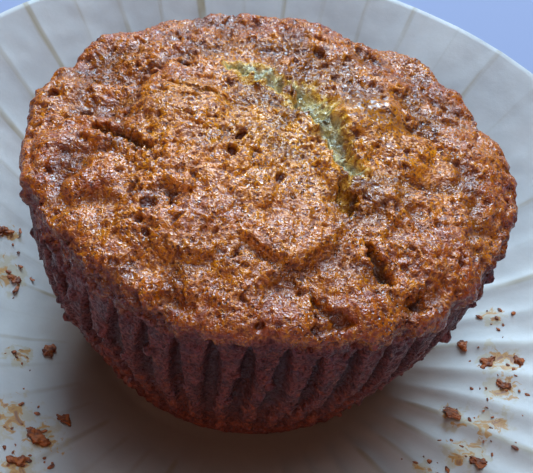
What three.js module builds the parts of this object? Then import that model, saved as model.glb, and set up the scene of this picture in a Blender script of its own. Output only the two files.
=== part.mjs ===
// A whole grain muffin standing on the pleated paper liner that it was baked in. The liner has
// been peeled off the sides and lies opened around it, with a few broken-off crumbs.
// Millimetres, +Z up. The origin is the centre of the liner's flat underside, on the table.

import * as THREE from 'three';

// Muffin
const BASE_RADIUS = 24; // foot of the fluted side
const TOP_RADIUS = 37; // widest part of the crust
const CRUST_EDGE_HEIGHT = 37.7; // height of the widest part above the muffin's foot
const MUFFIN_HEIGHT = 47;
const DOME_POWER = 1.6; // 2 is an ellipse, and less is flatter towards the rim
const FLUTES = 46; // one for each pleat of the liner
const FLUTE_DEPTH = 0.9;
const CRUST_FALL = 0.037; // the crust is a little lower on the +X side
const CRACK_DEPTH = 1.8;
const CRACK_WIDTH = 2.2;

// Liner
const SHEET_RADIUS = 75; // the paper is a round of 150 mm when it is flat
const SHEET_THICKNESS = 0.35; // thicker than real paper, so that the solid is robust
const FLOOR_RADIUS = 24.6; // the flat middle that the muffin stands on
const SLOPE_MEAN = THREE.MathUtils.degToRad(23);
const SLOPE_SWING = THREE.MathUtils.degToRad(21);
const STEEPEST_AT = THREE.MathUtils.degToRad(106); // the paper stands steepest behind the muffin
const LEAST_PLEAT = 0.4; // height of the pressed-out pleats where the paper lies flat

const GAP = 0.3; // between pieces that touch
const AROUND = 2 * FLUTES; // steps around the muffin and the liner

// Foot, fluted side and rounded lower edge of the crust, as radius and height above the foot
const SIDE_PROFILE = [
  [BASE_RADIUS - 1.4, 0],
  [BASE_RADIUS, 1.2],
  [28.3, 9],
  [32.6, 18],
  [35.5, 26.5],
  [36.2, 33.5],
  [36.9, 35.8],
];

// The crack that opened across the top as the muffin rose, as X and Y
const CRACK = [
  [-5.3, 11.5],
  [-1.8, 9.9],
  [2.5, 8.5],
  [4.9, 5.0],
  [7.4, 0.8],
  [8.3, -3.6],
  [9.9, -7.5],
];

// The largest crumbs: angle around the muffin in degrees, distance from the middle measured
// along the paper, then length, width and thickness
const CRUMBS = [
  [-25, 38.5, 3.8, 2.4, 1.5],
  [-133, 43.5, 4.4, 2.4, 1.4],
  [-8, 42, 3.4, 1.8, 1.2],
  [-34, 46.5, 3.2, 2.2, 1.4],
  [-130, 48, 3.2, 2.0, 1.2],
  [-134, 37.5, 2.8, 1.8, 1.1],
  [-156, 34.5, 2.4, 2.0, 1.2],
  [-176, 41, 2.4, 1.6, 1.0],
  [-14.5, 45, 2.4, 1.6, 1.1],
  [-8, 47, 2.6, 1.6, 1.0],
  [-4, 37.5, 2.2, 1.6, 1.1],
  [173.5, 45.5, 2.4, 1.7, 1.0],
];

const crustMaterial = new THREE.MeshStandardMaterial({
  color: 0xa3662c,
  roughness: 0.55,
  metalness: 0,
});
const paperMaterial = new THREE.MeshStandardMaterial({
  color: 0xc9ccc8,
  roughness: 0.85,
  metalness: 0,
});
const crumbMaterial = new THREE.MeshStandardMaterial({
  color: 0x7a4020,
  roughness: 0.8,
  metalness: 0,
});

const smooth = (value, low, high) => THREE.MathUtils.smoothstep(value, low, high);

// Moves every vertex of a geometry by a function, and recomputes its normals
function reshape(geometry, move) {
  const position = geometry.attributes.position;
  const point = new THREE.Vector3();
  for (let i = 0; i < position.count; i++) {
    point.fromBufferAttribute(position, i);
    move(point);
    position.setXYZ(i, point.x, point.y, point.z);
  }
  geometry.computeVertexNormals();
  return geometry;
}

// A profile of [radius, height] turned about +Z
function turned(profile) {
  const points = profile.map(([radius, height]) => new THREE.Vector2(radius, height));
  return new THREE.LatheGeometry(points, AROUND).rotateX(Math.PI / 2);
}

function distanceToCrack(x, y) {
  let nearest = Infinity;
  for (let i = 1; i < CRACK.length; i++) {
    const start = new THREE.Vector3(...CRACK[i - 1], 0);
    const end = new THREE.Vector3(...CRACK[i], 0);
    const here = new THREE.Vector3(x, y, 0);
    const foot = new THREE.Line3(start, end).closestPointToPoint(here, true, new THREE.Vector3());
    nearest = Math.min(nearest, foot.distanceTo(here));
  }
  return nearest;
}

// The muffin: a flared, fluted side under a wide, low, lumpy dome
function muffinGeometry() {
  const domeRows = 9;
  const profile = [[0, 0], ...SIDE_PROFILE];
  for (let row = 0; row <= domeRows; row++) {
    const rise = 1 - (1 - row / domeRows) ** 1.4;
    const radius = TOP_RADIUS * (1 - rise ** DOME_POWER) ** (1 / DOME_POWER);
    profile.push([radius, CRUST_EDGE_HEIGHT + (MUFFIN_HEIGHT - CRUST_EDGE_HEIGHT) * rise]);
  }
  return reshape(turned(profile), (point) => {
    const radius = Math.hypot(point.x, point.y);
    const angle = Math.atan2(point.y, point.x);
    const onSide = smooth(point.z, 0.5, 5) * (1 - smooth(point.z, 32, 35));
    const onCrust = smooth(point.z, 33, 38);
    const lump = Math.sin(2 * angle + 0.6) + 0.7 * Math.sin(5 * angle + 2) + 0.5 * Math.cos(9 * angle);
    const flute = 0.5 * FLUTE_DEPTH * onSide * (Math.cos(FLUTES * angle) - 1);
    const swell = 1 + (flute + 0.25 * onCrust * lump) / Math.max(radius, 1);
    point.x *= swell;
    point.y *= swell;
    const mound = 0.35 * Math.sin(0.21 * point.x + 1) * Math.cos(0.17 * point.y);
    const crack = CRACK_DEPTH * Math.exp(-((distanceToCrack(point.x, point.y) / CRACK_WIDTH) ** 2));
    point.z += onCrust * (mound - crack - CRUST_FALL * point.x);
  });
}

// How steeply the paper stands in a direction
function slopeAt(angle) {
  return SLOPE_MEAN + SLOPE_SWING * Math.cos(angle - STEEPEST_AT);
}

// Height of the pleats at an angle and a distance along the paper. Paper that stands up keeps
// the fullness of its flat size in its pleats, and where it lies flat only creases are left.
function pleatHeight(angle, along) {
  const reach = Math.max(along - FLOOR_RADIUS, 0);
  const radius = FLOOR_RADIUS + reach * Math.cos(slopeAt(angle));
  const fullness = Math.sqrt(Math.max((FLOOR_RADIUS + reach) / radius - 1, 0));
  const height = (4 * fullness * radius) / FLUTES + LEAST_PLEAT * smooth(reach, 0, 10);
  return 0.5 * height * (1 + Math.cos(FLUTES * angle));
}

// The liner: a flat round sheet, folded up around its floor and pleated
function linerGeometry() {
  const rows = [FLOOR_RADIUS - 2, FLOOR_RADIUS, 29, 36, 46, 60, SHEET_RADIUS];
  const under = rows.map((radius) => [radius, 0]);
  const over = rows.map((radius) => [radius, SHEET_THICKNESS]).reverse();
  return reshape(turned([[0, 0], ...under, ...over, [0, SHEET_THICKNESS]]), (point) => {
    const along = Math.hypot(point.x, point.y);
    const reach = Math.max(along - FLOOR_RADIUS, 0);
    if (reach < 1e-6) {
      return;
    }
    const angle = Math.atan2(point.y, point.x);
    const slope = slopeAt(angle);
    const off = point.z + pleatHeight(angle, along);
    const radius = FLOOR_RADIUS + reach * Math.cos(slope) - off * Math.sin(slope);
    point.set(radius * Math.cos(angle), radius * Math.sin(angle), 0);
    point.z = reach * Math.sin(slope) + off * Math.cos(slope);
  });
}

// A crumb: an uneven flattened lump, turned to lie on the paper at its place
function crumbGeometry([degrees, along, length, width, thickness], seed) {
  const angle = THREE.MathUtils.degToRad(degrees);
  const slope = slopeAt(angle);
  const lump = reshape(new THREE.IcosahedronGeometry(0.5, 1), (point) => {
    point.multiplyScalar(1 + 0.16 * Math.sin(9 * point.x + seed) * Math.cos(7 * point.y - seed));
    point.multiply(new THREE.Vector3(length, width, thickness));
  });
  lump.rotateZ(2.4 * seed);
  lump.rotateY(-slope);
  lump.rotateZ(angle);
  const reach = along - FLOOR_RADIUS;
  const normal = new THREE.Vector3(-Math.sin(slope), 0, Math.cos(slope));
  normal.applyAxisAngle(new THREE.Vector3(0, 0, 1), angle);
  const radius = FLOOR_RADIUS + reach * Math.cos(slope);
  const place = new THREE.Vector3(radius * Math.cos(angle), radius * Math.sin(angle), 0);
  place.z = reach * Math.sin(slope);

  // Lift it along the paper's normal until its lowest point just clears the pleats
  const position = lump.attributes.position;
  const point = new THREE.Vector3();
  let clearance = Infinity;
  for (let i = 0; i < position.count; i++) {
    point.fromBufferAttribute(position, i).add(place);
    const pointAngle = Math.atan2(point.y, point.x);
    const pointSlope = slopeAt(pointAngle);
    const out = Math.hypot(point.x, point.y) - FLOOR_RADIUS;
    const pointAlong = FLOOR_RADIUS + out * Math.cos(pointSlope) + point.z * Math.sin(pointSlope);
    const above = point.z * Math.cos(pointSlope) - out * Math.sin(pointSlope);
    clearance = Math.min(clearance, above - SHEET_THICKNESS - pleatHeight(pointAngle, pointAlong));
  }
  place.addScaledVector(normal, GAP - clearance);
  return lump.translate(place.x, place.y, place.z);
}

function namedMesh(name, geometry, material) {
  const mesh = new THREE.Mesh(geometry, material);
  mesh.name = name;
  return mesh;
}

const model = new THREE.Group();

const muffin = namedMesh('muffin', muffinGeometry(), crustMaterial);
muffin.position.z = SHEET_THICKNESS + GAP;
model.add(muffin);

model.add(namedMesh('paper_liner', linerGeometry(), paperMaterial));

CRUMBS.forEach((crumb, index) => {
  const name = `crumb_${String(index + 1).padStart(2, '0')}`;
  model.add(namedMesh(name, crumbGeometry(crumb, index + 1), crumbMaterial));
});

export default model;
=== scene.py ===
import math
import random

import bmesh
import bpy
import numpy as np
from mathutils import Matrix, Vector, kdtree, noise
from mathutils.bvhtree import BVHTree


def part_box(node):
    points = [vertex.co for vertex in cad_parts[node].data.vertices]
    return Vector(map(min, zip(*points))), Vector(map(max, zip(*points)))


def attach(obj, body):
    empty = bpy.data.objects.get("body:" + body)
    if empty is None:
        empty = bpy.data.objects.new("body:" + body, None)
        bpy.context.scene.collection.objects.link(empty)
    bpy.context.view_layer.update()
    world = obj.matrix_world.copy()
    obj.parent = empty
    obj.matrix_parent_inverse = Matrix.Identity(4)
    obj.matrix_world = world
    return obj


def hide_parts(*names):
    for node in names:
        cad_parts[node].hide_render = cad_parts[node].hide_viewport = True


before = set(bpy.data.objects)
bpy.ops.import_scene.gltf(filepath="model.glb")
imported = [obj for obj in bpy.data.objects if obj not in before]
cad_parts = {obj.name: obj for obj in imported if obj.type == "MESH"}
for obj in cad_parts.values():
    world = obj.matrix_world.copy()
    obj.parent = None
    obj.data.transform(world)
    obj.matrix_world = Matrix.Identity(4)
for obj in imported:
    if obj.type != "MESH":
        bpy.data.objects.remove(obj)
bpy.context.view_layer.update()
MM = 0.001


# Camera, light and floor. One large cool window stands behind the muffin. It makes the crust
# glint and leaves the near side in soft brown shade. The floor is a plain pale table top.
muffin_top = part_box("muffin")[1].z
aim = Vector((0, 0, 0.44 * muffin_top))
elevation = math.radians(43)
roll = math.radians(6.6)
distance = 0.1925
eye = aim + distance * Vector((0, -math.cos(elevation), math.sin(elevation)))

forward = (aim - eye).normalized()
level = forward.cross(Vector((0, 0, 1))).normalized()
upright = level.cross(forward)
right = level * math.cos(roll) + upright * math.sin(roll)
up = upright * math.cos(roll) - level * math.sin(roll)

camera_data = bpy.data.cameras.new("camera")
camera_data.sensor_width = 36
camera_data.lens = 81
camera_data.shift_x = 0.0214
camera_data.shift_y = 0.0041
camera_data.clip_start = 0.01
camera = bpy.data.objects.new("camera", camera_data)
camera.matrix_world = Matrix.Translation(eye) @ Matrix((right, up, -forward)).transposed().to_4x4()
scene = bpy.context.scene
scene.collection.objects.link(camera)
scene.camera = camera
scene.view_settings.view_transform = "Standard"


def area_light(name, place, target, size, watts, colour):
    data = bpy.data.lights.new(name, "AREA")
    data.shape = "RECTANGLE"
    data.size = size[0]
    data.size_y = size[1]
    data.energy = watts
    data.color = colour
    light = bpy.data.objects.new(name, data)
    towards = (Vector(target) - Vector(place)).to_track_quat("-Z", "Y")
    light.matrix_world = Matrix.Translation(place) @ towards.to_matrix().to_4x4()
    scene.collection.objects.link(light)


area_light("window", (-0.03, 0.95, 1.00), (0, 0, 0.03), (0.86, 0.66), 39, (0.57, 0.80, 1.0))
area_light("ceiling", (0.15, 0.05, 0.90), (0, 0, 0), (0.5, 0.5), 4.4, (0.78, 0.88, 1.0))
area_light("room", (-0.1, -0.6, 0.35), (0, 0, 0.02), (0.5, 0.4), 1.05, (1.0, 0.64, 0.50))

world = bpy.data.worlds.new("world")
world.use_nodes = True
world.node_tree.nodes["Background"].inputs["Color"].default_value = (0.80, 0.74, 0.84, 1)
world.node_tree.nodes["Background"].inputs["Strength"].default_value = 0.08
scene.world = world


def plain_material(name, colour, roughness):
    material = bpy.data.materials.new(name)
    material.use_nodes = True
    shader = material.node_tree.nodes["Principled BSDF"]
    shader.inputs["Base Color"].default_value = (*colour, 1)
    shader.inputs["Roughness"].default_value = roughness
    return material


def mesh_from(name, shape):
    mesh = bpy.data.meshes.new(name)
    shape.to_mesh(mesh)
    shape.free()
    return mesh


def show_mesh(name, mesh, material):
    """Makes an object from a mesh, with one material and smooth shading."""
    mesh.materials.append(material)
    mesh.polygons.foreach_set("use_smooth", [True] * len(mesh.polygons))
    piece = bpy.data.objects.new(name, mesh)
    scene.collection.objects.link(piece)
    return piece


table_top = bmesh.new()
bmesh.ops.create_grid(table_top, x_segments=1, y_segments=1, size=1.5)
table_paint = plain_material("table", (0.20, 0.225, 0.345), 0.8)
floor = show_mesh("table_top", mesh_from("table_top", table_top), table_paint)


# The muffin. It is one baked piece: the dough rose out of its pleated cup, so the side is moulded
# into flutes, and the top is a wide low dome of glossy brown crust, torn open by one main crack.
# Its sizes are in millimetres.
def between(value, low, high):
    """0 at low, 1 at high, and smooth between them."""
    part = np.clip((value - low) / (high - low), 0, 1)
    return part * part * (3 - 2 * part)


def lumps(points, size, octaves=1, seed=0):
    """Smooth random heights of about -1 to 1, with lumps of that size."""
    shifted = points / size + np.array((11.7, 5.3, 7.9)) * (seed + 1)
    return np.array([noise.fractal(at, 1.0, 2.0, octaves) for at in shifted.tolist()])


def path_distance(x, y, path):
    """Distance from points to a path of (x, y) corners, and how far along it the nearest point is."""
    nearest = np.full(len(x), 1e9)
    along = np.zeros(len(x))
    for step, ((x0, y0), (x1, y1)) in enumerate(zip(path, path[1:])):
        length = (x1 - x0) ** 2 + (y1 - y0) ** 2
        part = np.clip(((x - x0) * (x1 - x0) + (y - y0) * (y1 - y0)) / length, 0, 1)
        apart = np.hypot(x - x0 - part * (x1 - x0), y - y0 - part * (y1 - y0))
        closer = apart < nearest
        nearest[closer] = apart[closer]
        along[closer] = (step + part[closer]) / (len(path) - 1)
    return nearest, along


foot_radius = 24.0
side_swell = 12.2
side_height = 33.5
crust_radius = 37.0
crust_edge = 37.7
dome_height = 9.3
dome_power = 1.6
flutes = 46
paper_gap = 0.14
foot_rows = 13
crust_starts = 32.9
crust_full = 34.0
crust_fall = 0.037
dome_lean = 0.03


def muffin_outline(spacing):
    """Radius and height from the middle of the foot to the middle of the dome."""
    line = [(radius, 0) for radius in np.linspace(0, foot_radius - 2.2, 12)]
    for turn in np.linspace(0.15, 1, 6):
        bend = turn * math.pi / 2
        line.append((foot_radius - 2.2 + 2.0 * math.sin(bend), 1.6 * (1 - math.cos(bend))))
    for height in np.linspace(2.4, side_height, 40):
        swell = math.sin(math.pi / 2 * (height / side_height) ** 1.1)
        line.append((foot_radius + side_swell * swell, height))
    line.append((crust_radius - 0.25, crust_edge - 2.0))
    for turn in np.linspace(0, math.pi / 2, 60):
        rise = math.sin(turn) ** 1.3
        radius = crust_radius * (1 - rise ** dome_power) ** (1 / dome_power)
        line.append((radius, crust_edge + dome_height * rise))
    line = np.array(line)
    steps = np.hypot(*np.diff(line, axis=0).T)
    travelled = np.concatenate(([0], np.cumsum(steps)))
    rim = np.searchsorted(line[:, 1], 0.01)
    foot = np.linspace(0, travelled[rim], foot_rows + 1)[:-1]
    rest = np.linspace(travelled[rim], travelled[-1], int((travelled[-1] - travelled[rim]) / spacing))
    at = np.concatenate((foot, rest))
    return np.stack((np.interp(at, travelled, line[:, 0]), np.interp(at, travelled, line[:, 1])), 1)


def turned_surface(outline, cuts):
    """A surface of revolution about Z from (radius, height) points, with cuts between the flutes."""
    shape = bmesh.new()
    ring = [shape.verts.new((radius, 0, height)) for radius, height in outline]
    spokes = [shape.edges.new(pair) for pair in zip(ring, ring[1:])]
    bmesh.ops.spin(shape, geom=ring + spokes, cent=(0, 0, 0), axis=(0, 0, 1), angle=math.tau,
                   steps=flutes, use_merge=True)
    around = [edge for edge in shape.edges if abs(edge.verts[0].co.z - edge.verts[1].co.z) < 1e-6
              and abs(edge.verts[0].co.xy.length - edge.verts[1].co.xy.length) < 1e-4]
    bmesh.ops.subdivide_edges(shape, edges=around, cuts=cuts, use_grid_fill=True)
    sector = math.tau / flutes
    for vert in shape.verts:
        turn = (math.atan2(vert.co.y, vert.co.x) % sector) - sector / 2
        vert.co.xy *= math.cos(turn) / math.cos(sector / 2)
    bmesh.ops.remove_doubles(shape, verts=shape.verts, dist=1e-5)
    bmesh.ops.recalc_face_normals(shape, faces=shape.faces)
    return shape


def read_points(mesh):
    values = np.empty(3 * len(mesh.vertices))
    mesh.vertices.foreach_get("co", values)
    return values.reshape(-1, 3)


def write_points(mesh, points):
    mesh.vertices.foreach_set("co", points.ravel())
    mesh.update()


def read_normals(mesh):
    values = np.empty(3 * len(mesh.vertices), dtype=np.float32)
    mesh.vertex_normals.foreach_get("vector", values)
    return values.reshape(-1, 3).astype(float)


point_spacing = 0.29
cuts_per_flute = 19
outline = muffin_outline(point_spacing)
dough = turned_surface(outline.tolist(), cuts_per_flute)
muffin_mesh = mesh_from("muffin_surface", dough)
points = read_points(muffin_mesh)
normals = read_normals(muffin_mesh)
x, y, z = points.T.copy()
angle = np.arctan2(y, x)

# The ragged line where the crust ends and the side begins, which is higher in front
lift = 1.2 + 3.0 * np.exp(-((np.degrees(angle) + 86) / 18) ** 2)
lip = 1.5 * lumps(points * (1, 1, 0.3), 3.6, 3, seed=0)
on_crust = between(z + lip - lift, crust_starts, crust_full)
on_side = between(z, 1.0, 4.0) * (1 - on_crust)

# Mounds of risen dough with creases between them, and small puffs on the mounds
broad = lumps(points, 13, 2, seed=1)
middle = lumps(points, 5.2, 2, seed=2)
warp = np.stack([lumps(points, 6.5, 2, seed=seed) for seed in (31, 32, 33)], 1)
nearest_two = np.array([noise.voronoi(at)[0][:2] for at in ((points + 2.6 * warp) / 9.5).tolist()])
mound = between(nearest_two[:, 1] - nearest_two[:, 0], 0.0, 0.55)
crease = (1 - mound) * between(lumps(points, 11, 1, seed=34), -0.35, 0.25) * on_crust
out = on_crust * (1.6 * broad + 0.7 * middle) - 1.3 * crease + on_side * 0.30 * broad
puffs = between(np.abs(lumps(points, 4.4, 2, seed=38)), 0, 0.32)
out += on_crust * (0.34 * puffs - 0.20)

# Single larger lobes, as x, y, radius and height
lobes = [
    (14.4, 3.6, 6.2, 2.2), (11.6, 4.4, 3.4, 0.8), (2.2, 1.2, 5.0, 0.7), (-13, -2.5, 6.5, 0.7),
    (-21, -11, 6.0, 0.6), (-9, -12, 7.5, 0.5), (17, 14, 6.0, 0.6), (-17, 14, 7.0, 0.6),
    (3, 20, 7.0, 0.5),
]
for lobe_x, lobe_y, lobe_radius, lobe_height in lobes:
    apart = np.hypot(x - lobe_x, y - lobe_y) / lobe_radius
    out += on_crust * lobe_height * np.exp(-apart ** 2.6)

# Flutes: a narrow groove with a rounded top for each pleat of the cup
turn_noise = lumps(points * (1, 1, 0.35), 9, 1, seed=3)
flute_at = angle * flutes / math.tau + 0.16 * turn_noise
flute_number = np.floor(flute_at).astype(int) % flutes
from_groove = np.abs(flute_at - np.floor(flute_at) - 0.5)
chance = random.Random(5)
groove_top = lift + np.array([chance.uniform(31.4, 34.0) for _ in range(flutes)])[flute_number]
groove_half = np.array([chance.uniform(0.27, 0.37) for _ in range(flutes)])[flute_number]
groove_depth = np.array([chance.uniform(1.2, 2.0) for _ in range(flutes)])[flute_number]
pointed = np.clip((groove_top - z) / 11, 0, 1) ** 0.6
arch = from_groove / (groove_half * pointed + 0.01)
groove = (1 - between(arch, 0.35, 1.1)) * between(groove_top - z, 0, 1.6)
groove *= between(z, 0.5, 7) * (0.35 + 0.65 * between(z, 4, 27))
out -= groove * groove_depth

# Where the paper pulled the skin away, the lower side is rough and set back
torn_noise = lumps(points, 4.0, 3, seed=4)
torn = between(torn_noise + 1.1 - z / 17, -0.05, 0.18) * on_side
out -= torn * (0.40 + 0.35 * lumps(points, 1.3, 2, seed=5))

# Crust edge: uneven and slightly overhanging
edge = np.exp(-(((z + lip - 35.9) / 1.7) ** 2))
out += edge * (0.55 + 0.65 * lumps(points * (1, 1, 0.5), 3.4, 2, seed=6))

# Ragged bits of crust that hang over the side: direction, height, radius and how far they stand out
hanging = [
    (-17, 35.2, 1.3, 1.3), (-23, 33.0, 1.0, 1.5), (-38, 27.5, 1.0, 1.4), (-31, 34.6, 1.2, 1.0),
    (-9, 34.0, 0.9, 1.0), (-146, 33.5, 1.3, 1.2), (-158, 35.6, 1.1, 1.4), (-170, 33.0, 1.2, 1.2),
    (-134, 30.0, 1.0, 1.0), (150, 34.0, 1.2, 1.2), (95, 34.4, 1.3, 1.2), (60, 33.4, 1.1, 1.2),
    (28, 35.0, 1.2, 1.1), (118, 31.0, 1.0, 1.2), (-60, 35.6, 1.0, 0.8),
]
side_radius = 36.5
for degrees, height, radius, stand in hanging:
    here = math.radians(degrees)
    sideways = side_radius * ((angle - here + math.pi) % math.tau - math.pi)
    apart = np.hypot(sideways, 0.8 * (z - height)) / radius
    out += 0.75 * stand * np.exp(-(apart * 1.15) ** 4)
points += normals * out[:, None]

# Cracks: corners as (x, y), half width, depth, and how much pale crumb they lay bare. The first
# six are stretches of the main crack, with its undercut edge, sunk and darkened by painted shade,
# and the seventh and eighth are its thin end and the hollow there.
cracks = [
    ([(-8.0, 11.4), (-6.0, 11.2), (-3.6, 10.8), (-1.2, 9.8), (1.5, 9.2)], 1.8, 1.4, 0.9),
    ([(1.0, 9.4), (3.4, 8.4), (4.6, 6.4), (5.2, 4.6), (5.6, 3.2)], 3.3, 2.0, 1.0),
    ([(5.0, 5.0), (6.2, 2.6), (7.2, 0.2), (8.4, -3.0), (9.8, -6.0)], 1.9, 2.5, 1.0),
    ([(8.2, -4.0), (10.0, -6.6), (11.8, -8.2), (12.4, -8.6)], 1.5, 2.6, 0.9),
    ([(7.4, 4.6), (8.0, 1.4), (9.2, -1.8), (11.0, -4.6)], 0.9, 2.4, 0.0),
    ([(9.4, -6.0), (11.0, -7.4), (12.6, -7.8)], 1.3, 1.6, 0.0),
    ([(11.4, -9.6), (10.6, -12.0), (10.9, -14.8), (11.6, -16.6)], 0.7, 1.6, 0.35),
    ([(10.4, -12.4), (10.8, -13.6), (11.4, -14.8)], 1.5, 2.8, 0.1),
    ([(-26.5, -3.6), (-24.4, -5.4), (-22.0, -6.5), (-19.6, -8.2), (-17.2, -9.6)], 1.15, 2.7, 0.1),
    ([(-16.5, 4.4), (-13.2, 2.9), (-10.6, 2.2), (-7.8, 2.4)], 0.8, 1.0, 0.2),
    ([(14.6, -21.2), (15.4, -22.8), (16.2, -24.6), (17.8, -26.2)], 1.15, 2.4, 0.1),
    ([(7.4, -31.6), (9.8, -33.0), (12.2, -33.4)], 0.9, 1.2, 0.0),
    ([(-12.6, -33.0), (-10.4, -33.9), (-8.4, -34.3)], 0.8, 0.9, 0.0),
    ([(20.2, -28.6), (22.0, -27.4), (23.2, -25.4)], 0.9, 1.1, 0.0),
    ([(-4.4, -14.5), (-2.6, -12.2), (0.4, -11.4), (3.6, -12.2)], 0.5, 0.5, 0.0),
    ([(-24.0, 8.0), (-21.0, 10.5), (-17.0, 11.6)], 0.6, 1.1, 0.0),
    ([(20.5, 6.0), (23.0, 3.0), (26.5, 1.6)], 0.55, 1.0, 0.1),
    ([(-2.0, 22.0), (2.0, 24.0), (7.0, 23.4)], 0.6, 1.0, 0.0),
    ([(24.0, 16.0), (26.5, 12.5), (29.5, 11.0)], 0.6, 1.0, 0.0),
]
ragged = lumps(points, 2.6, 3, seed=7) + 0.45 * lumps(points, 0.9, 1, seed=37)
crumb = np.zeros(len(points))
sunk = np.zeros(len(points))
for path, half_width, depth, bare in cracks:
    apart, along = path_distance(x, y, path)
    narrowing = 0.45 + 0.55 * np.sin(math.pi * np.clip(along, 0.02, 0.98)) ** 0.6
    reach = apart / (half_width * narrowing) + (1.25 - 0.65 * bare) * ragged
    inside = (1 - between(reach, 0.35 - 0.15 * bare, 1.15 + 0.45 * bare)) * on_crust
    sunk = np.maximum(sunk, inside * depth)
    crumb = np.maximum(crumb, bare * (1 - between(reach, 0.55, 1.95)) * on_crust)

# Flakes of crust left standing in the main crack, as x, y and radius
flakes = [(1.5, 7.9, 1.6), (8.2, 9.4, 0.9), (6.8, -9.2, 1.1), (12.6, -5.4, 1.2)]
flake = np.zeros(len(points))
for flake_x, flake_y, flake_radius in flakes:
    apart = np.hypot(x - flake_x, y - flake_y) + 0.6 * ragged
    flake = np.maximum(flake, 1 - between(apart, 0.55 * flake_radius, 1.15 * flake_radius))
sunk *= 1 - flake
crumb *= 1 - flake
crumb_lumps = lumps(points, 1.7, 2, seed=8)
points += normals * (0.9 * flake - sunk + 1.5 * crumb * crumb_lumps)[:, None]
write_points(muffin_mesh, points)
normals = read_normals(muffin_mesh)

# Bubbles that burst in the crust and left pits, and bits of batter that stand up from it. There
# are more in airy places, and none on the smooth lobe beside the main crack.
tree = kdtree.KDTree(len(points))
for number, place in enumerate(points.tolist()):
    tree.insert(place, number)
tree.balance()
uneven = lumps(points, 0.8, 2, seed=10)
pit = np.zeros(len(points))
bit = np.zeros(len(points))
ring_area = np.concatenate(([0], np.cumsum(np.hypot(*np.diff(outline, axis=0).T) * outline[1:, 0])))
smooth_x = 13.6
smooth_y = 4.0
smooth_radius = 5.6
airiness = 0.42 + 0.75 * lumps(points, 6.0, 2, seed=35) + 0.5 * crease + 0.3 * (1 - puffs)
airiness = np.clip(airiness, 0.04, 1)


def dot_surface(heights, count, radii, shares, low, high, seed, squash=0.35):
    """Spreads round dots evenly over the surface between two heights, and keeps their heights."""
    draw = random.Random(seed)
    first, last = np.interp((low, high), outline[foot_rows:, 1], ring_area[foot_rows:])
    for _ in range(count):
        area = draw.uniform(first, last)
        turn = draw.uniform(-math.pi, math.pi)
        reach = float(np.interp(area, ring_area, outline[:, 0]))
        height = float(np.interp(area, ring_area, outline[:, 1]))
        radius = draw.uniform(*radii)
        peak = radius * draw.uniform(*shares)
        stretch = draw.uniform(-squash, squash)
        lean = draw.uniform(0, math.pi)
        centre, found, _ = tree.find((reach * math.cos(turn), reach * math.sin(turn), height))
        if draw.random() > airiness[found]:
            continue
        if math.hypot(centre[0] - smooth_x, centre[1] - smooth_y) < smooth_radius:
            continue
        for place, near, apart in tree.find_range(centre, radius * 1.5):
            facing = math.atan2(place[1] - centre[1], place[0] - centre[0])
            longer = 1 + stretch * math.cos(2 * (facing - lean))
            share = apart / (radius * longer) + 0.55 * uneven[near]
            if share < 1:
                heights[near] = max(heights[near], peak * (1 - max(share, 0) ** 2.6))


dot_surface(pit, 7000, (0.18, 0.40), (0.8, 1.4), 32.5, 47, seed=21)
dot_surface(pit, 800, (0.38, 0.70), (0.8, 1.3), 32.5, 47, seed=22, squash=0.45)
dot_surface(pit, 70, (0.6, 1.0), (1.0, 1.6), 32.5, 46.6, seed=23, squash=0.6)
dot_surface(pit, 2200, (0.20, 0.50), (0.5, 1.0), 2, 33, seed=24)
dot_surface(bit, 1800, (0.35, 0.7), (0.30, 0.55), 32.5, 47, seed=25, squash=0.45)
dot_surface(bit, 420, (0.4, 0.9), (0.6, 1.2), 3, 33, seed=26)

# Small granules all over, rougher on the side and along the edge of the crust
granules = np.array([noise.voronoi(at)[0][0] for at in (points / 1.25).tolist()])
fine = lumps(points, 0.95, 2, seed=9)
grit = on_crust * (0.30 * (0.5 - granules) + 0.15 * fine)
grit += on_side * (0.20 + 0.22 * torn) * fine
grit += 0.35 * on_crust * (1 - between(z, 35, 40)) * lumps(points, 1.6, 2, seed=36)
points += normals * (grit + bit - pit)[:, None]

# The crust lies a little lower to the right, and the dome leans that way
tilt = between(points[:, 2], 10, 38)
points[:, 2] -= crust_fall * points[:, 0] * tilt
points[:, 0] += dome_lean * points[:, 2] * tilt
points[:, 2] = np.maximum(points[:, 2], 0) + paper_gap
write_points(muffin_mesh, points * MM)


def keep_attribute(mesh, name, values):
    layer = mesh.attributes.new(name, "FLOAT", "POINT")
    layer.data.foreach_set("value", values.astype(np.float32))


keep_attribute(muffin_mesh, "crumb", crumb)
keep_attribute(muffin_mesh, "crust", on_crust)
keep_attribute(muffin_mesh, "torn", torn)
# The groove mask carries painted shade into the colour of the side
keep_attribute(muffin_mesh, "groove", groove)
# The pit mask carries painted shade into the colour
keep_attribute(muffin_mesh, "pit", np.clip(pit / 0.6, 0, 1))
# Painted shade in the sunk cracks and in the creases between the mounds
deep = between(sunk, 0.5, 1.6) * (1 - crumb) + 0.5 * between(crease, 0.3, 0.9)
keep_attribute(muffin_mesh, "deep", deep)
golden = np.exp(-(np.hypot(x - 4, y + 1) / 16) ** 2) * on_crust
keep_attribute(muffin_mesh, "golden", golden)
# Darker towards the rim of the dome, plus painted shade along the lower edge of the crust, most at the
# front
painted_edge_shade = (1 - between(z, 36, 41)) * (0.35 + 0.65 * between(-y, -5, 28))
rim = 0.40 * between(np.hypot(x, y), 12, 34) + 0.60 * painted_edge_shade
keep_attribute(muffin_mesh, "rim", rim)
calm = np.exp(-(np.hypot(x - smooth_x, y - smooth_y) / smooth_radius) ** 4)
keep_attribute(muffin_mesh, "calm", calm)


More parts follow.
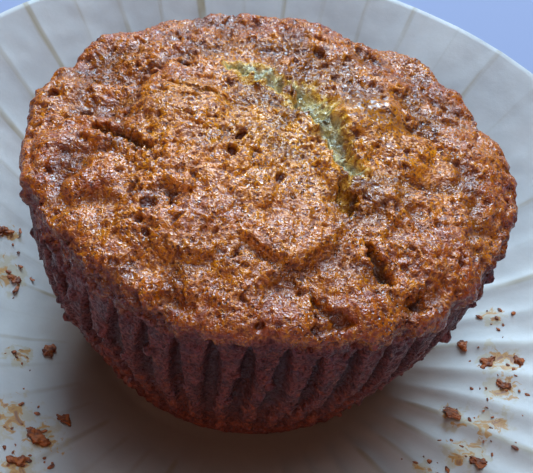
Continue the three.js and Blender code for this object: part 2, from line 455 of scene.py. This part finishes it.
class Recipe:
    """Builds one material node by node."""

    def __init__(self, name):
        self.material = bpy.data.materials.new(name)
        self.material.use_nodes = True
        self.tree = self.material.node_tree
        self.shader = self.tree.nodes["Principled BSDF"]
        self.place = self.node("ShaderNodeTexCoord").outputs["Object"]

    def node(self, kind, **settings):
        made = self.tree.nodes.new(kind)
        for key, value in settings.items():
            setattr(made, key, value)
        return made

    def feed(self, socket, value):
        if isinstance(value, bpy.types.NodeSocket):
            self.tree.links.new(value, socket)
        elif isinstance(value, tuple) and len(value) == 3 and len(socket.default_value) == 4:
            socket.default_value = (*value, 1)
        else:
            socket.default_value = value

    def noise(self, size, detail=2.0, roughness=0.5, distortion=0.0):
        made = self.node("ShaderNodeTexNoise")
        self.feed(made.inputs["Vector"], self.place)
        self.feed(made.inputs["Scale"], 1 / size)
        self.feed(made.inputs["Detail"], detail)
        self.feed(made.inputs["Roughness"], roughness)
        self.feed(made.inputs["Distortion"], distortion)
        return made.outputs["Fac"]

    def cells(self, size):
        made = self.node("ShaderNodeTexVoronoi")
        self.feed(made.inputs["Vector"], self.place)
        self.feed(made.inputs["Scale"], 1 / size)
        return made.outputs["Distance"]

    def attribute(self, name):
        return self.node("ShaderNodeAttribute", attribute_name=name).outputs["Fac"]

    def math(self, operation, first, second):
        made = self.node("ShaderNodeMath", operation=operation)
        self.feed(made.inputs[0], first)
        self.feed(made.inputs[1], second)
        return made.outputs[0]

    def ramp(self, value, low, high, start=0.0, end=1.0):
        made = self.node("ShaderNodeMapRange", interpolation_type="SMOOTHSTEP")
        self.feed(made.inputs["Value"], value)
        self.feed(made.inputs["From Min"], low)
        self.feed(made.inputs["From Max"], high)
        self.feed(made.inputs["To Min"], start)
        self.feed(made.inputs["To Max"], end)
        return made.outputs["Result"]

    def mix(self, share, first, second):
        made = self.node("ShaderNodeMix", data_type="RGBA")
        self.feed(made.inputs["Factor"], share)
        first_colour, second_colour = [socket for socket in made.inputs if socket.type == "RGBA"]
        self.feed(first_colour, first)
        self.feed(second_colour, second)
        return next(socket for socket in made.outputs if socket.type == "RGBA")

    def bump(self, height, distance, strength=1.0, under=None):
        made = self.node("ShaderNodeBump")
        self.feed(made.inputs["Height"], height)
        self.feed(made.inputs["Distance"], distance)
        self.feed(made.inputs["Strength"], strength)
        if under is not None:
            self.feed(made.inputs["Normal"], under)
        return made.outputs["Normal"]


# Crust: patches of two browns, yellow in places, darker towards the rim, with a few flecks of bran.
# Painted shade darkens its lower edge, most at the front, and the low places of the grain, the
# pores, pinholes, pits, cracks and creases.
baked = Recipe("baked_crust")
patches = baked.ramp(baked.noise(7 * MM, 3, 0.6), 0.38, 0.62)
speckle = baked.ramp(baked.noise(1.0 * MM, 3, 0.65), 0.42, 0.62)
pores = baked.noise(0.48 * MM, 1.4, 0.55, 0.5)
open_places = baked.ramp(baked.noise(5 * MM, 2, 0.5), 0.42, 0.56, 0.25, 1.0)
pinholes = baked.ramp(baked.cells(0.80 * MM), 0.16, 0.34, 1.0, 0.0)
pinholes = baked.math("MULTIPLY", pinholes, open_places)
grain = baked.noise(0.75 * MM, 2.0, 0.6, 0.4)
brown = baked.mix(patches, (0.67, 0.176, 0.005), (0.40, 0.074, 0.003))
yellowed = baked.ramp(baked.noise(11 * MM, 2, 0.5), 0.48, 0.66, 0.0, 0.5)
brown = baked.mix(yellowed, brown, (0.69, 0.24, 0.007))
# Darker towards the rim, and painted shade along the crust's lower edge, most at the front
brown = baked.mix(baked.attribute("rim"), brown, (0.25, 0.034, 0.002))
brown = baked.mix(baked.math("MULTIPLY", speckle, 0.5), brown, (0.66, 0.235, 0.008))
brown = baked.mix(baked.math("MULTIPLY", baked.attribute("golden"), 0.85), brown, (0.74, 0.29, 0.008))
# Painted shade in the low places of the grain and in the pores
brown = baked.mix(baked.ramp(grain, 0.36, 0.54, 0.40, 0.0), brown, (0.26, 0.046, 0.003))
brown = baked.mix(baked.ramp(pores, 0.36, 0.52, 0.80, 0.0), brown, (0.16, 0.024, 0.002))
# Painted shade in the pinholes and in the pits of burst bubbles
brown = baked.mix(baked.math("MULTIPLY", pinholes, 0.75), brown, (0.12, 0.020, 0.003))
brown = baked.mix(baked.math("MULTIPLY", baked.attribute("pit"), 0.95), brown, (0.12, 0.020, 0.003))
# Painted shade in the cracks and creases
brown = baked.mix(baked.attribute("deep"), brown, (0.07, 0.014, 0.003))
bran = baked.ramp(baked.cells(2.3 * MM), 0.06, 0.13, 0.75, 0.0)
brown = baked.mix(bran, brown, (0.045, 0.016, 0.010))

# Side: dark skin with lighter freckles and redder where it is torn, with painted shade in its pores
# and, darkest, in the grooves
skin_tone = baked.ramp(baked.noise(2.2 * MM, 4, 0.65), 0.35, 0.65)
skin = baked.mix(skin_tone, (0.100, 0.013, 0.005), (0.200, 0.030, 0.012))
freckle = baked.ramp(baked.noise(0.8 * MM, 3, 0.6), 0.56, 0.68, 0.0, 0.7)
skin = baked.mix(freckle, skin, (0.30, 0.060, 0.010))
# Painted shade in the pores of the side
skin = baked.mix(baked.ramp(pores, 0.36, 0.52, 0.7, 0.0), skin, (0.040, 0.007, 0.004))
torn_tone = baked.ramp(baked.noise(1.4 * MM, 4, 0.6), 0.4, 0.65)
ripped = baked.mix(torn_tone, (0.110, 0.014, 0.005), (0.250, 0.042, 0.008))
side = baked.mix(baked.attribute("torn"), skin, ripped)
# Painted shade in the grooves
side = baked.mix(baked.math("MULTIPLY", baked.attribute("groove"), 0.85), side, (0.045, 0.008, 0.004))

# Crumb laid bare in the cracks: pale and slightly green, with a golden margin, both darker in the low
# places of the grain as painted shade
pale_tone = baked.ramp(baked.noise(1.8 * MM, 3, 0.6), 0.35, 0.65)
pale = baked.mix(pale_tone, (0.50, 0.37, 0.13), (0.32, 0.30, 0.20))
# Painted shade in the low places of the crumb's grain
pale = baked.mix(baked.ramp(grain, 0.36, 0.54, 0.8, 0.0), pale, (0.20, 0.14, 0.055))
colour = baked.mix(baked.attribute("crust"), side, brown)
# The golden margin is darker in the low places of the grain, as painted shade
margin = baked.mix(baked.ramp(grain, 0.38, 0.56), (0.30, 0.10, 0.008), (0.66, 0.34, 0.040))
colour = baked.mix(baked.ramp(baked.attribute("crumb"), 0.05, 0.40), colour, margin)
colour = baked.mix(baked.ramp(baked.attribute("crumb"), 0.50, 0.90), colour, pale)
baked.feed(baked.shader.inputs["Base Color"], colour)

# The crust is greasy and shines in patches, but the side and the pores are dull
gloss = baked.ramp(baked.noise(2.4 * MM, 3, 0.6), 0.44, 0.60, 0.05, 0.32)
rough = baked.math("ADD", gloss, baked.ramp(baked.attribute("crust"), 0, 1, 0.34, 0.0))
rough = baked.math("ADD", rough, baked.ramp(pores, 0.38, 0.52, 0.40, 0.0))
baked.feed(baked.shader.inputs["Roughness"], rough)
baked.shader.inputs["IOR"].default_value = 1.60
baked.shader.inputs["Specular Tint"].default_value = (0.66, 0.88, 1.0, 1)
baked.shader.inputs["Subsurface Weight"].default_value = 0.05
baked.shader.inputs["Subsurface Radius"].default_value = (1.0, 0.35, 0.12)
baked.shader.inputs["Subsurface Scale"].default_value = 0.0015

# Grain that is too fine for the mesh, and weaker on the smooth lobe
calmed = baked.math("MULTIPLY", baked.attribute("calm"), 0.75)
grain_share = baked.math("SUBTRACT", 1.0, calmed)
grain_height = baked.math("MULTIPLY", baked.math("SUBTRACT", grain, 0.5), grain_share)
pore_height = baked.math("MULTIPLY", baked.math("SUBTRACT", pores, 0.5), grain_share)
grains = baked.bump(grain_height, 0.17 * MM, 1.0)
grains = baked.bump(pore_height, 0.31 * MM, 1.0, grains)
grains = baked.bump(pinholes, -0.20 * MM, 1.0, grains)
baked.feed(baked.shader.inputs["Normal"], grains)

# The surface is thinned where it is smooth, and the finished mesh holds no modifier
muffin = show_mesh("whole_grain_muffin", muffin_mesh, baked.material)
thin_out = muffin.modifiers.new("thin_out", "DECIMATE")
thin_out.ratio = 0.37
thin_out.use_collapse_triangulate = True
thinned = muffin.evaluated_get(bpy.context.evaluated_depsgraph_get())
thinned_mesh = bpy.data.meshes.new_from_object(thinned)
muffin.modifiers.clear()
muffin.data = thinned_mesh
bpy.data.meshes.remove(muffin_mesh)
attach(muffin, "root")
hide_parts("muffin")


# The paper liner. It is a round sheet of thin greaseproof baking paper, pressed into pleats to
# make a cup. It has been peeled off the muffin and lies open around it, steep behind and flat in
# front, with its pleats still showing as ridges and greasy fold lines.
sheet_radius = 75.0
floor_radius = 24.6
mean_slope = 23
slope_swing = 21
steepest_at = 106
table_gap = 0.04
rows = [*np.linspace(0, 20, 5), *np.linspace(21.5, 33, 16), *np.linspace(34, sheet_radius, 46)]
sheet = turned_surface([(along, 0) for along in rows], 13)
sheet_mesh = mesh_from("paper_surface", sheet)

flat = read_points(sheet_mesh)
turn = np.arctan2(flat[:, 1], flat[:, 0])
along = np.hypot(flat[:, 0], flat[:, 1])


def near_direction(turn, degrees, spread):
    """1 in a direction, falling away on both sides of it."""
    apart = (turn - math.radians(degrees) + math.pi) % math.tau - math.pi
    return np.exp(-(apart / math.radians(spread)) ** 2)


def lay_paper(turn, along):
    """Where points of the flat sheet lie, as x, y, z, and how strongly a fold marks each one."""
    reach = np.maximum(along - floor_radius, 0)
    share = reach / (sheet_radius - floor_radius)
    circle = np.stack((np.cos(turn), np.sin(turn), np.zeros(len(turn))), 1)
    slope = mean_slope + slope_swing * np.cos(turn - math.radians(steepest_at))
    slope = np.radians(slope)
    slope += math.radians(2.2) * lumps(circle, 0.55, 1, seed=31)
    slope *= 1.10 - 0.14 * share
    flat_place = circle * along[:, None]
    wander = 0.10 * lumps(flat_place, 11, 1, seed=32) + 0.10 * lumps(circle, 0.30, 1, seed=33)
    fold_at = turn * flutes / math.tau + wander
    number = np.floor(fold_at).astype(int) % flutes
    from_fold = np.abs(fold_at - np.floor(fold_at) - 0.5)
    draw = random.Random(8)
    strength = np.array([draw.uniform(0.25, 1.25) for _ in range(flutes)])[number]
    steep = between(np.degrees(slope), 12, 34)
    width = 0.25 - 0.11 * steep
    fold = np.exp(-(from_fold / width) ** 2)
    height = strength * (0.05 + 0.34 * near_direction(turn, 122, 36))
    height += (0.5 + 0.5 * strength) * 0.85 * near_direction(turn, -42, 48)
    height *= between(reach, 0.5, 12)
    off = height * fold + 0.10 * lumps(flat_place, 3.0, 1, seed=34) * between(reach, 0, 5)
    off += 0.55 * lumps(flat_place, 19, 1, seed=35) * between(reach, 2, 20)
    radius = np.where(reach > 0, floor_radius, along) + reach * np.cos(slope) - off * np.sin(slope)
    rise = reach * np.sin(slope) + off * np.cos(slope)
    rise = np.where(rise > 0.25, rise, 0.25 * np.exp(np.minimum(rise / 0.25 - 1, 0)))
    rise *= between(reach, -0.1, 1.5)
    place = np.stack((radius * circle[:, 0], radius * circle[:, 1], rise + table_gap), 1)
    marked = 0.45 + 0.35 * strength * (0.6 + 1.2 * near_direction(turn, 125, 32))
    return place, fold * marked * between(reach, 1, 8)


laid, fold = lay_paper(turn, along)
write_points(sheet_mesh, laid * MM)

# Batter that stuck to the paper, as direction, distance along the paper and spread
smears = [
    (-140, 45, 6.0), (-133, 43, 5.0), (-129, 49, 5.0), (-155, 40, 3.5), (-177, 43, 5.0),
    (173, 45, 3.0), (-8, 44, 5.5), (-15, 45, 5.0), (-25, 40, 4.0), (-24, 45, 4.5), (-33, 44, 5.0),
    (-42, 41, 3.0), (4, 43, 3.5),
]
smear = np.zeros(len(turn))
for degrees, distance_out, spread in smears:
    here = math.radians(degrees)
    middle_x = distance_out * math.cos(here)
    middle_y = distance_out * math.sin(here)
    apart = np.hypot(flat[:, 0] - middle_x, flat[:, 1] - middle_y)
    smear = np.maximum(smear, np.exp(-(apart / spread) ** 2))
keep_attribute(sheet_mesh, "fold", fold)
keep_attribute(sheet_mesh, "smear", smear)
keep_attribute(sheet_mesh, "along", along)

# Greasy grey-white paper: browner along the folds, browner around the muffin's foot from grease and
# painted shade, and stained by the batter
baking = Recipe("baking_paper")
cloudy = baking.ramp(baking.noise(16 * MM, 3, 0.55), 0.35, 0.65)
sheet_colour = baking.mix(cloudy, (0.37, 0.365, 0.365), (0.43, 0.415, 0.405))
fibre = baking.ramp(baking.noise(0.8 * MM, 4, 0.7), 0.3, 0.7)
sheet_colour = baking.mix(baking.math("MULTIPLY", fibre, 0.10), sheet_colour, (0.30, 0.28, 0.24))
fold_line = baking.ramp(baking.attribute("fold"), 0.45, 0.85)
broken = baking.ramp(baking.noise(9 * MM, 2), 0.35, 0.6, 0.35, 0.95)
fold_line = baking.math("MULTIPLY", fold_line, broken)
sheet_colour = baking.mix(fold_line, sheet_colour, (0.22, 0.165, 0.075))
# Browner around the muffin's foot: partly grease, partly painted shade near the muffin
grease_and_painted_shade = baking.ramp(baking.attribute("along"), 25, 40, 0.75, 0.0)
sheet_colour = baking.mix(grease_and_painted_shade, sheet_colour, (0.22, 0.12, 0.065))
zone = baking.attribute("smear")
halo = baking.math("ADD", zone, baking.ramp(baking.noise(2.2 * MM, 3, 0.6), 0.2, 0.8))
sheet_colour = baking.mix(baking.ramp(halo, 1.10, 1.45, 0, 0.45), sheet_colour, (0.34, 0.25, 0.10))
speck = baking.math("ADD", baking.math("MULTIPLY", zone, 0.45), baking.noise(1.9 * MM, 4, 0.55, 0.9))
smeared = baking.mix(baking.ramp(speck, 0.97, 1.08), (0.38, 0.170, 0.014), (0.20, 0.052, 0.005))
sheet_colour = baking.mix(baking.ramp(speck, 0.885, 0.955, 0, 0.85), sheet_colour, smeared)
baking.feed(baking.shader.inputs["Base Color"], sheet_colour)
baking.shader.inputs["Roughness"].default_value = 0.55
baking.shader.inputs["Subsurface Weight"].default_value = 0.85
baking.shader.inputs["Subsurface Radius"].default_value = (1.0, 0.9, 0.8)
baking.shader.inputs["Subsurface Scale"].default_value = 0.0003
wrinkles = baking.bump(baking.noise(1.2 * MM, 4, 0.6), 0.05 * MM, 0.6)
baking.feed(baking.shader.inputs["Normal"], wrinkles)

liner = show_mesh("pleated_paper_liner", sheet_mesh, baking.material)
thickness = liner.modifiers.new("thickness", "SOLIDIFY")
thickness.thickness = 0.06 * MM
thickness.offset = 0
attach(liner, "root")
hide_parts("paper_liner")
paper_corners = [Vector(place) for place in (laid * MM).tolist()]
paper_faces = [tuple(face.vertices) for face in sheet_mesh.polygons]
paper_tree = BVHTree.FromPolygons(paper_corners, paper_faces)


# Crumbs. Bits of the baked side tore off with the paper and dried on it: about a dozen large
# ones, each an uneven flattened lump, and many small ones scattered around them.
crumbly = Recipe("baked_crumb")
tone = crumbly.ramp(crumbly.noise(0.9 * MM, 3, 0.6), 0.35, 0.65)
crumb_brown = crumbly.mix(tone, (0.09, 0.018, 0.004), (0.30, 0.072, 0.009))
crumbly.feed(crumbly.shader.inputs["Base Color"], crumb_brown)
crumbly.shader.inputs["Roughness"].default_value = 0.60
crumbly.shader.inputs["IOR"].default_value = 1.40
crumb_grain = crumbly.bump(crumbly.noise(0.35 * MM, 3, 0.7), 0.08 * MM, 0.8)
crumbly.feed(crumbly.shader.inputs["Normal"], crumb_grain)


def settle(shape, verts, sink):
    """Moves a lump along the paper's normal until it is sunk that deep into the paper."""
    middle = sum((vert.co for vert in verts), Vector()) / len(verts)
    ground, normal, _, _ = paper_tree.find_nearest(middle)
    if normal.z < 0:
        normal = -normal
    lowest = min((vert.co - ground).dot(normal) for vert in verts)
    bmesh.ops.translate(shape, verts=verts, vec=-normal * (lowest + sink))


def flatten(verts, share):
    """Presses a lump flat against the paper."""
    middle = sum((vert.co for vert in verts), Vector()) / len(verts)
    _, normal, _, _ = paper_tree.find_nearest(middle)
    for vert in verts:
        vert.co -= (1 - share) * (vert.co - middle).dot(normal) * normal


crumb_sink = 0.15 * MM
crumb_names = sorted(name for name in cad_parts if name.startswith("crumb_"))
for number, name in enumerate(crumb_names):
    lump = bmesh.new()
    lump.from_mesh(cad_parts[name].data)
    bmesh.ops.remove_doubles(lump, verts=lump.verts, dist=0.005 * MM)
    for _ in range(3):
        bmesh.ops.subdivide_edges(lump, edges=lump.edges, cuts=1, use_grid_fill=True, smooth=0.6)
    places = np.array([vert.co / MM for vert in lump.verts])
    swelling = 0.75 * lumps(places, 1.1, 3, seed=40 + number) - 0.12
    swelling += 0.20 * lumps(places, 0.4, 1, seed=60)
    for vert, swell in zip(lump.verts, swelling):
        vert.co += vert.normal * float(swell) * MM
    flatten(lump.verts, 0.42)
    settle(lump, lump.verts, crumb_sink)
    piece = show_mesh(name + "_baked", mesh_from(name + "_baked", lump), crumbly.material)
    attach(piece, "root")
    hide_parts(name)

# Small bits around each smear of batter. The seed gives them the same shapes on each run.
noise.seed_set(11)
bit_sink = 0.05 * MM
bits = bmesh.new()
draw = random.Random(11)
for degrees, distance_out, spread in smears:
    for _ in range(int(2 + 1.5 * spread)):
        out_by = distance_out + draw.gauss(0, spread * 0.55)
        turned_by = math.radians(degrees) + draw.gauss(0, spread * 0.55) / distance_out
        place, _ = lay_paper(np.array([turned_by]), np.array([max(out_by, 30)]))
        size = draw.uniform(0.25, 0.65) * MM if draw.random() < 0.8 else draw.uniform(0.6, 1.0) * MM
        stretch = (draw.uniform(0.8, 1.9), draw.uniform(0.6, 1.0), draw.uniform(0.2, 0.45))
        spin = Matrix.Rotation(draw.uniform(0, math.tau), 4, "Z")
        scale = Matrix.Diagonal((*[size * part for part in stretch], 1))
        move = Matrix.Translation(Vector(place[0].tolist()) * MM)
        made = bmesh.ops.create_icosphere(bits, subdivisions=2, radius=0.5, matrix=move @ spin @ scale)
        for vert in made["verts"]:
            vert.co += 0.22 * size * noise.noise_vector(vert.co / (0.6 * size))
        settle(bits, made["verts"], bit_sink)
small_crumbs = show_mesh("small_crumbs", mesh_from("small_crumbs", bits), crumbly.material)
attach(small_crumbs, "root")
